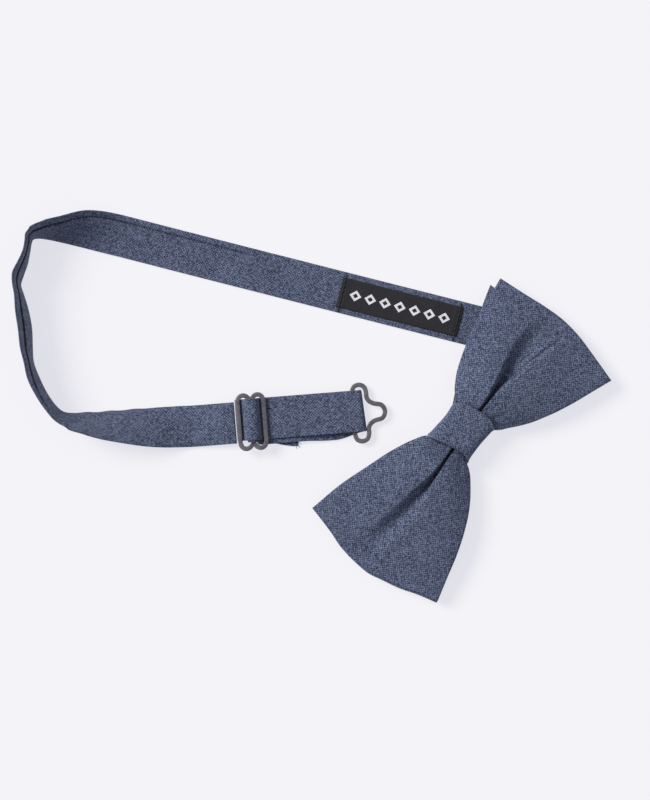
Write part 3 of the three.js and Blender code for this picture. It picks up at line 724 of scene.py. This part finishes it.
# where the neck stretch begins, and where the strap starts to follow the slider
neck_first = len(under[0]) + len(crease[0])
lay_x, lay_y = turned(middle[:, 0], middle[:, 1], -LAY_ANGLE)
order = np.arange(len(middle))
split = int(order[(order > neck_first) & (lay_y < 30) & (lay_x > -142)][0])


# distances from where the neck stretch begins
ON_EDGE = (100, 132, 180, 198)
HEM_OPEN = (12, 60, 190, 200)
WRINKLED_AT = 226


def hem_fold(s):
    """How far the hem's fold lies from the outer edge, how much the strap stands on edge, and
    how much of the fold is open."""
    on_edge = between(s - NECK_FROM, *ON_EDGE)
    return HEM + HEM_ROLL * on_edge, on_edge, between(s - NECK_FROM, *HEM_OPEN)


def neck_relief(s, a):
    """The side worn against the neck: a groove where the folded cloth meets near the outer
    edge, soft waves along the strap, and wrinkles where it turns flat again."""
    inward = (1 - a) * HALF
    hem, on_edge, opened = hem_fold(s)
    groove = -0.7 * np.exp(-(((inward - hem) / 0.4) ** 2))
    lap = 0.25 * ease(inward, hem, hem + 0.6) * (1 - ease(inward, hem + 2, hem + 7))
    bend = np.exp(-(((s - NECK_FROM - WRINKLED_AT) / 20) ** 2))
    wrinkle = np.sin((s + 0.8 * a * HALF) * 0.62) * 0.24 * (0.4 + 0.6 * a**2) * bend
    return opened * (groove + lap) + wrinkle + 0.1 * waves(s, a * HALF, 3, 17.0)


def neck_hem_painted_shade(s, a):
    """Painted shade: the dark line painted where the hem's fold closes, wider where the strap stands
    on edge.
    """
    inward = (1 - a) * HALF
    hem, on_edge, opened = hem_fold(s)
    line = np.exp(-(((inward - hem) / (0.26 + 0.6 * on_edge)) ** 2))
    return line * opened * (0.45 + 0.5 * on_edge)


NECK_FROM = float(distances(middle)[neck_first])

main, s_main = strap_mesh(
    "neck_strap", middle[: split + 1], across[: split + 1], up[: split + 1], STRAP, CLOTH,
    neck_relief, shown=-1, crease=neck_hem_painted_shade,
)
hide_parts("neck_strap")
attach(main, "bow")
main_length = float(s_main[-1])

# the lower run rises from the table to pass under the slider's first bar
run_middle, run_across, run_up = (v[split:].copy() for v in (middle, across, up))
lead_x = np.arange(-13 + STEP, -OUTER_BAR - 0.6, STEP)
lx, ly = from_adjuster(lead_x, 0 * lead_x)
lead = np.stack([lx, ly, LAID + 0 * lx], axis=1)
run_middle = np.concatenate([run_middle, lead])
run_across = np.concatenate([run_across, np.tile(run_across[-1], (len(lead), 1))])
run_up = np.concatenate([run_up, np.tile(run_up[-1], (len(lead), 1))])
gone = np.linalg.norm(run_middle - run_middle[-1], axis=1)
run_middle[:, 2] += (OUTGOING_Z - 0.35 - LAID) * (1 - ease(gone, 0.0, 24.0))
lower, s_lower = strap_mesh(
    "neck_strap_lower_run", run_middle, run_across, run_up, STRAP, CLOTH,
    neck_relief, shown=-1, start=main_length, crease=neck_hem_painted_shade,
)


def spot(x, y=0.0, z=0.0):
    a, b = from_adjuster(x, y)
    return (float(a) * MM, float(b) * MM, z * MM)


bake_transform(lower)


# ---- threads ---------------------------------------------------------------------------------
def join(first, other):
    """Adds one piece's mesh to another's."""
    merged = bmesh.new()
    merged.from_mesh(first.data)
    merged.from_mesh(other.data)
    merged.to_mesh(first.data)
    merged.free()
    bpy.data.objects.remove(other)


def thread_run(points, radius, sides=8):
    """Rings of a thread through 3-D points."""
    line = spaced(points, radius * 1.2)
    run = unit(np.gradient(line, axis=0))
    side = np.cross(run, np.array([0, 0, 1.0]))
    upright = np.linalg.norm(side, axis=1) < 1e-6
    side[upright] = (1, 0, 0)
    side = unit(side)
    top = np.cross(side, run)
    a = np.linspace(0, 2 * math.pi, sides, endpoint=False)
    taper = np.ones(len(line))
    taper[0] = taper[-1] = 0.4
    ring = side[:, None] * np.cos(a)[None, :, None] + top[:, None] * np.sin(a)[None, :, None]
    return line[:, None] - ring * (radius * taper)[:, None, None]


# ---- the strap's end: over the slider's middle bar, round the eye's bar, and back ------------
def end_loop():
    """Stations from the slider's top, round the eye's bar, to the tail sewn on the slider."""
    inner = OUTER_BAR - WIRE / 2
    fold_x = EYE_AT + LOBE_REACH - WIRE / 2 - BAR_ROOM - LAID - STRAP / 2 - 0.3
    path = [(-OUTER_BAR - 0.8, OUTGOING_Z - 0.35), (-inner + 0.1, OUTGOING_Z - 0.1)]
    path += arc(0, BAR_Z, HUMP_RADIUS, 190, -10)
    path += [(inner - 0.2, OUTGOING_Z + 0.05), (inner + 1.6, OUTGOING_Z)]
    path += [(inner + 8, OUTGOING_Z), (22, OUTGOING_Z + 0.1)]
    path += [(EYE_AT - 5, CLASP_Z + BAR_ROOM + LAID)]
    path += arc(fold_x, CLASP_Z, BAR_ROOM + LAID, 90, -90)
    path += [(EYE_AT - 6, LAID + 0.1), (16.5, RETURN_Z - 0.2), (10.5, RETURN_Z)]
    path += [(inner + 1.6, RETURN_Z), (inner - 0.1, RETURN_Z - 0.15), (inner - 1.8, RETURN_Z + 0.4)]
    path += [(WRAP_RADIUS + 0.1, BAR_Z - 1.1)]
    path += arc(0, BAR_Z, WRAP_RADIUS, 0, 250)
    path += [(0.9, LAID + 1.25), (2.8, LAID + 0.3), (5.0, LAID), (12.0, LAID), (17.5, LAID)]
    middle, across, up = square_stations(path, lambda x: HALF)
    steps = distances(middle)
    # the plies under the loop have slipped out a little below it, and the tail furthest
    turn_s = steps[np.argmax(middle[:, 0])]
    tail_s = steps[-1] - 17.5
    middle[:, 1] += (
        0.9 - 2.6 * ease(steps, turn_s, turn_s + 13) + 0.5 * ease(steps, turn_s + 15, turn_s + 25)
        + 0.6 * ease(steps, tail_s - 12, tail_s - 6) - 2.3 * ease(steps, tail_s + 4, tail_s + 17)
    )
    narrow = between(steps, tail_s - 12, tail_s - 7, tail_s + 1, tail_s + 5)
    across = across * (1 - 0.09 * narrow)[:, None]
    # the fold at the eye is a little askew
    lean = 0.055 * ease(middle[:, 0], 18, 44)
    middle[:, 0] -= lean * middle[:, 1]
    across[:, 0] -= lean * across[:, 1]
    for v in (middle, across, up):
        x, y = turned(v[:, 0], v[:, 1], ADJUSTER_TURN + LAY_ANGLE)
        v[:, 0], v[:, 1] = x, y
    ax, ay = from_lay(*ADJUSTER)
    middle += np.array([float(ax), float(ay), 0])
    return middle, across, up


def frayed_ends(loop):
    """A few yarns that have come loose at the corner of the sewn tail."""
    for x, y, far_x, far_y in ((17.3, -10.6, 17.9, -11.8), (16.7, -11.0, 16.6, -12.1),
                               (17.4, -9.6, 18.7, -10.5)):
        spots = []
        for t in (0, 0.35, 0.7, 1):
            px, py = from_adjuster(x + (far_x - x) * t, y + (far_y - y) * t + 0.4 * t * (1 - t))
            spots.append((float(px), float(py), LAID + 0.1 * math.sin(3 * t)))
        join(loop, plain("frayed_yarn", thread_run(spots, 0.1), 0.2, CLOTH))


def loop_relief(s, a):
    return 0.07 * waves(s, a * HALF, 8, 15.0)


loop, s_loop = strap_mesh("strap_end_loop", *end_loop(), STRAP, CLOTH, loop_relief)
frayed_ends(loop)
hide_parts("strap_end_loop")
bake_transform(loop)


# ---- metal -----------------------------------------------------------------------------------
def wire_section(width, thickness, corner=0.22, steps=4):
    """A flat wire's section, with rounded corners."""
    points = []
    for cx, cz, start in ((1, -1, -90), (1, 1, 0), (-1, 1, 90), (-1, -1, 180)):
        for k in range(steps + 1):
            a = math.radians(start + 90 * k / steps)
            points.append((
                cx * (width / 2 - corner) + corner * math.cos(a),
                cz * (thickness / 2 - corner) + corner * math.sin(a),
            ))
    return np.array(points)


def wire_rings(line, width, thickness, closed=True):
    """Rings of a flat wire along a line in its own plane."""
    line = np.asarray(line, float)
    if closed:
        run = np.roll(line, -1, axis=0) - np.roll(line, 1, axis=0)
    else:
        run = np.gradient(line, axis=0)
    run = unit(run)
    shape = wire_section(width, thickness)
    right = np.stack([run[:, 1], -run[:, 0]], axis=1)
    rings = np.zeros((len(line), len(shape), 3))
    rings[:, :, :2] = line[:, None] + right[:, None] * shape[None, :, :1]
    rings[:, :, 2] = shape[None, :, 1]
    return rings


def wire_piece(name, line, width, thickness, bend=None, closed=True):
    rings = wire_rings(line, width, thickness, closed)
    if bend is not None:
        rings = bend(rings)
    return plain(name, rings, 0.3, METAL, close_rings=closed)


def move(obj, x, y, z, angle):
    """Puts a piece's mesh in its place, leaving the object at the origin."""
    place = Matrix.Translation((x * MM, y * MM, z * MM)) @ Matrix.Rotation(angle, 4, "Z")
    obj.data.transform(place)


def ring_line(points, step=0.25):
    """A smooth closed line through points, at an even step."""
    points = np.array(points, float)
    wrapped = np.concatenate([points[-4:], points, points[:5]])
    chord = distances(wrapped, 0.5)
    first, last = chord[4], chord[4 + len(points)]
    fine = np.linspace(first, last, 2400)
    dense = np.stack([through(list(zip(chord, c)))(fine) for c in wrapped.T], axis=1)
    along = distances(dense)
    at = np.linspace(0, along[-1], round(along[-1] / step) + 1)[:-1]
    return np.stack([np.interp(at, along, c) for c in dense.T], axis=1)


def slider_outline():
    """The middle of the slider's outer wire: two long rings, with a waist between them."""
    side = HALF + 1.35 + WIRE / 2
    out = OUTER_BAR - 0.3
    quarter = [
        (out, 0), (out, 3), (out, 6), (out, side - 2.6), (out - 0.35, side - 1.2),
        (out - 1.2, side - 0.3), (out - 2.45, side), (out - 3.6, side - 0.45), (0.7, side - 1.25),
    ]
    upper = quarter + [(0, side - 1.75)] + [(-x, y) for x, y in quarter[::-1]][:-1]
    lower = [(-x, -y) for x, y in upper]
    return ring_line(upper + lower)


slider = wire_piece("slider", slider_outline(), WIRE, SLIDER_THICK)
bar_line = [(0, y) for y in np.linspace(-8.8, 8.8, 60)]
bar = wire_piece("slider_bar", bar_line, WIRE, SLIDER_THICK * 0.96, closed=False)
join(slider, bar)
sx, sy = from_adjuster(0, 0)
move(slider, float(sx), float(sy), BAR_Z, LAY_ANGLE + ADJUSTER_TURN)
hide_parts("slider")
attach(slider, "slider")


def clasp_line(reach):
    """The middle of a clasp's wire: a bar, a lobe at each end of it, and a tongue."""
    lobe_reach, tongue = LOBE_REACH, TONGUE_HALF
    lobe = lobe_reach / 2
    side = HALF + 0.1
    half = [
        (0, 2.0), (0, side - 3.0), (0, side - 0.6), (lobe * 0.29, side + lobe * 0.71),
        (lobe, side + lobe), (lobe * 1.71, side + lobe * 0.71), (lobe_reach, side - 0.2),
        (lobe_reach + 0.05, side - 2.1), (lobe_reach + 0.75, tongue + 1.35),
        (lobe_reach + 2.3, tongue + 0.25), (reach - tongue - 0.6, tongue),
        (reach - tongue * 0.32, tongue * 0.74),
    ]
    lower = [(x, -y) for x, y in half[::-1]]
    return ring_line(half + [(reach, 0)] + lower)


eye = wire_piece("eye_clasp", clasp_line(EYE_REACH), WIRE, CLASP_THICK)
ex, ey = from_adjuster(EYE_AT, 0)
move(eye, float(ex), float(ey), CLASP_Z, LAY_ANGLE + ADJUSTER_TURN)
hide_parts("eye_clasp")
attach(eye, "eye")


def bent_back(rings):
    """Bends the hook's tongue back over itself."""
    x, z = rings[:, :, 0], rings[:, :, 2]
    past = np.maximum(x - BEND_AT, 0)
    angle = np.minimum(past / BEND_RADIUS, math.pi)
    beyond = np.maximum(past - math.pi * BEND_RADIUS, 0)
    arm = BEND_RADIUS - z
    rings = rings.copy()
    bent = x > BEND_AT
    rings[:, :, 2] = np.where(bent, BEND_RADIUS - arm * np.cos(angle), z)
    rings[:, :, 0] = np.where(bent, BEND_AT + arm * np.sin(angle) - beyond, x)
    return rings


hook_reach = BEND_AT + math.pi * BEND_RADIUS + BEND_RETURN
hook = wire_piece("hook_clasp", clasp_line(hook_reach), WIRE, CLASP_THICK, bend=bent_back)
move(hook, HOOK_AT, 0, CLASP_Z, math.pi)
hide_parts("hook_clasp")
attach(hook, "hook")


# ---- the label -------------------------------------------------------------------------------
def label_material():
    """Black damask, with a row of small lozenges in white yarn."""
    n = Nodes("woven_label")
    uv = n.new("ShaderNodeUVMap", uv_map="Cloth")
    parts = n.new("ShaderNodeSeparateXYZ")
    n.link(uv.outputs[0], parts.inputs[0])
    x, y = parts.outputs[0], parts.outputs[1]
    pitch = 0.00026
    row = n.math("FLOOR", n.math("DIVIDE", y, pitch))
    column = n.math("FLOOR", n.math("DIVIDE", x, pitch))
    weave = n.noise(n.xyz(n.math("MULTIPLY", column, 0.35), n.math("MULTIPLY", row, 3.1)), 1.0, 2.0)
    black = n.ramp(weave, [(0.3, srgb(24, 24, 27)), (0.7, srgb(40, 40, 45))])
    # lozenges at an even spacing along the middle of the label
    row_half, spacing = 0.021, 0.006
    along = n.math("ADD", x, row_half)
    cell = n.math("SUBTRACT", n.math("FRACT", n.math("DIVIDE", along, spacing)), 0.5)
    reach = n.math("ADD", n.math("MULTIPLY", n.math("ABSOLUTE", cell), spacing),
                   n.math("MULTIPLY", n.math("ABSOLUTE", y), 1.1))
    inside = n.math("LESS_THAN", reach, 0.0024)
    middle = n.math("LESS_THAN", n.math("ABSOLUTE", x), row_half)
    hollow = n.math("GREATER_THAN", reach, 0.0011)
    motif = n.math("MULTIPLY", n.math("MULTIPLY", inside, middle), hollow)
    white = n.ramp(weave, [(0.3, srgb(188, 188, 194)), (0.7, srgb(236, 236, 240))])
    ribs = n.math("ABSOLUTE", n.math("SINE", n.math("MULTIPLY", y, math.pi / pitch)))
    n.bump(n.math("ADD", ribs, n.math("MULTIPLY", motif, 0.8)), 0.6, 0.00005)
    n.surface(Base_Color=n.mix(motif, black, white), Roughness=0.62, Specular_IOR_Level=0.3)
    return n.material


LABEL_AT, LABEL_TURN = (-23.8, 49.3), math.radians(-14.0)
LABEL_LENGTH, LABEL_WIDTH = 49.0, 12.0


def on_label(x, y):
    """The label's own axes to the part's."""
    a, b = turned(np.asarray(x, float), np.asarray(y, float), LABEL_TURN)
    return from_lay(a + LABEL_AT[0], b + LABEL_AT[1])


def woven_label():
    xs = np.concatenate([
        -LABEL_LENGTH / 2 + np.array([0, 0.15, 0.4, 0.9]), np.linspace(-23, 23, 90),
        LABEL_LENGTH / 2 - np.array([0.9, 0.4, 0.15, 0]),
    ])
    ys = np.linspace(-LABEL_WIDTH / 2, LABEL_WIDTH / 2, 26)
    rings = []
    for x in xs:
        px, py = on_label(x, ys)
        end = LABEL_LENGTH / 2 - abs(x)
        # the ends are folded under, so they are a little thicker and are pulled down by thread
        top = STRAP + 0.42 + 0.16 * (1 - ease(end, 1.5, 4.5)) - 0.12 * (1 - ease(end, 0, 0.5))
        puff = 0.1 * (1 - (ys / 6) ** 2) * ease(end, 3, 12) + 0.07 * waves(x, ys, 21, 11.0)
        pulled = -0.2 * np.exp(-((end - 1.3) / 0.35) ** 2)
        edge = -0.12 * (1 - ease(LABEL_WIDTH / 2 - np.abs(ys), 0, 0.4))
        z = top + puff + pulled + edge
        over = np.stack([px, py, z], axis=1)
        beneath = np.stack([px, py, np.full_like(px, STRAP + 0.12)], axis=1)
        rings.append(np.concatenate([beneath, over[::-1]]))
    v = np.concatenate([ys + 30, ys[::-1], [ys[0]]])
    u = np.repeat(xs[:, None], len(v), axis=1)
    v = np.repeat(v[None], len(xs), axis=0)
    return make("woven_label", np.array(rings), v, u, label_material())


label = woven_label()
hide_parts("woven_label")
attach(label, "bow")


# ---- stitches --------------------------------------------------------------------------------
def stitches(name, runs, radius, material, body, node):
    """Many short threads as one piece that stands for a CAD node."""
    piece = None
    for k, points in enumerate(runs):
        part = plain(f"{name}_{k}", thread_run(points, radius), 0.2, material)
        if piece is None:
            piece = part
        else:
            join(piece, part)
    piece.name = f"{name}_look"
    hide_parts(node)
    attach(piece, body)
    return piece


def end_stitches(side):
    """A lockstitch across the strap, through the label's folded end."""
    r = np.random.default_rng(40 + side)
    x = side * (LABEL_LENGTH / 2 - 1.2)
    runs = []
    for y in np.arange(-HALF + 0.3, HALF - 1.2, 1.95):
        dx = r.uniform(-0.06, 0.06)
        on = abs(y + 0.8) < LABEL_WIDTH / 2 - 0.4
        z = STRAP + (0.62 if on else 0.2)
        spots = []
        for t, lift in ((0, -0.25), (0.2, 0.06), (0.8, 0.1), (1.4, 0.06), (1.62, -0.25)):
            px, py = on_label(x + dx, y + t)
            spots.append((float(px), float(py), z + lift))
        runs.append(spots)
    return runs


for side, word in ((-1, "left"), (1, "right")):
    stitches(f"label_stitch_{word}", end_stitches(side), 0.24, BLACK_THREAD, "bow",
             f"label_stitch_{word}")


def straight_stitches(start, stop, pitch, length, lift):
    """Points of a row of even stitches from one place to another."""
    start, stop = np.array(start, float), np.array(stop, float)
    run = stop - start
    total = np.linalg.norm(run)
    run /= total
    runs = []
    for s in np.arange(0, total - length, pitch):
        a = start + run * s
        spots = [a + run * length * t + np.array([0, 0, h * lift])
                 for t, h in ((0, -1), (0.2, 0.3), (0.5, 0.5), (0.8, 0.3), (1, -1))]
        runs.append([tuple(p) for p in spots])
    return runs


# rows across the strap's two tails
row = np.array([-7.2, 7.2])
tail_x, tail_y = from_adjuster([9.5, 9.5], row)
tail_row = [(x, y, 1.28) for x, y in zip(tail_x, tail_y)]
stitches("strap_tail_stitch", straight_stitches(*tail_row, 2.0, 1.6, 0.12),
         0.15, BLUE_THREAD, "slider", "strap_tail_stitch")
hook_row = [(HOOK_AT + 4.5, y, CLASP_Z) for y in row]
stitches("hook_tail_stitch", straight_stitches(*hook_row, 2.0, 1.6, 0.12),
         0.15, BLUE_THREAD, "bow", "hook_tail_stitch")
stitches("knot_seam_stitch",
         straight_stitches((-7, -3.2, 0.2), (7, -3.2, 0.2), 1.6, 1.3, 0.05),
         0.14, BLUE_THREAD, "bow", "knot_seam_stitch")


# ---- table and light -------------------------------------------------------------------------
def table_and_light():
    n = Nodes("table")
    spot = n.new("ShaderNodeTexCoord").outputs["Object"]
    tone = n.noise(spot, 40.0, 3.0)
    base = n.ramp(tone, [(0.2, (0.209, 0.199, 0.169)), (0.8, (0.211, 0.201, 0.171))])
    n.surface(Base_Color=base, Roughness=1.0, Specular_IOR_Level=0.0)
    # the table glows a little, so that shadows on it stay pale and cool
    n.surface(Emission_Color=(0.683, 0.684, 0.752), Emission_Strength=1.0)
    mesh = bpy.data.meshes.new("table")
    r = 3.0
    mesh.from_pydata([(-r, -r, 0), (r, -r, 0), (r, r, 0), (-r, r, 0)], [], [(0, 1, 2, 3)])
    mesh.materials.append(n.material)
    table = bpy.data.objects.new("table", mesh)
    table.location.z = -0.00002
    bpy.context.collection.objects.link(table)

    sun = bpy.data.lights.new("key", "SUN")
    sun.energy = 3.3
    sun.angle = math.radians(26)
    sun.color = (1.0, 0.985, 0.965)
    key = bpy.data.objects.new("key", sun)
    # light comes from the upper left of the laid-out tie
    ahead = math.radians(152) + LAY_ANGLE
    key.rotation_euler = (0, math.radians(50), ahead)
    bpy.context.collection.objects.link(key)

    world = bpy.data.worlds.new("studio")
    bpy.context.scene.world = world
    world.use_nodes = True
    sky = world.node_tree.nodes["Background"]
    sky.inputs["Color"].default_value = (0.93, 0.95, 1.0, 1)
    sky.inputs["Strength"].default_value = 0.44


table_and_light()
bpy.context.scene.view_settings.view_transform = "Standard"
